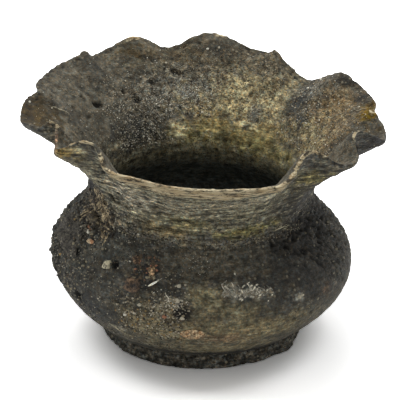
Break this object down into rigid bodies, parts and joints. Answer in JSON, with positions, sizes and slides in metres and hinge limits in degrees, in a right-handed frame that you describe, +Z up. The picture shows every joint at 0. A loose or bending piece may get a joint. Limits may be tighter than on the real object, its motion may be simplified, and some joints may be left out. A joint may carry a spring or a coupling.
{
  "type": "crimped-mouth pottery vase",
  "caption": "Squat hand-thrown pottery vase with a wide trumpet mouth, a hand-crimped lip and a dark crusted surface.",
  "frame": {"origin": "on the table, in the middle of the foot's underside", "axes": "+Z up out of the mouth, -Y towards the side that the picture shows, +X to the right of it"},
  "size_m": [0.1495, 0.1453, 0.106],
  "materials": {
    "burnt_clay": "satin",
    "foot_clay": "matte",
    "crust": "matte",
    "pale_grit": "matte",
    "rust_grit": "matte"
  },
  "bodies": {
    "root": {"foot": "foot_clay", "bowl": "burnt_clay", "shoulder": "burnt_clay", "neck_collar": "burnt_clay", "crimped_mouth": "burnt_clay", "crust_patch": "crust", "crust_clump": "crust", "chip_cream": "pale_grit", "pebble_pale": "pale_grit", "clinker_rust": "rust_grit", "clinker_brown": "rust_grit", "nodule_dark": "crust", "sliver_pale": "pale_grit", "flake_orange": "rust_grit"}
  },
  "joints": []
}
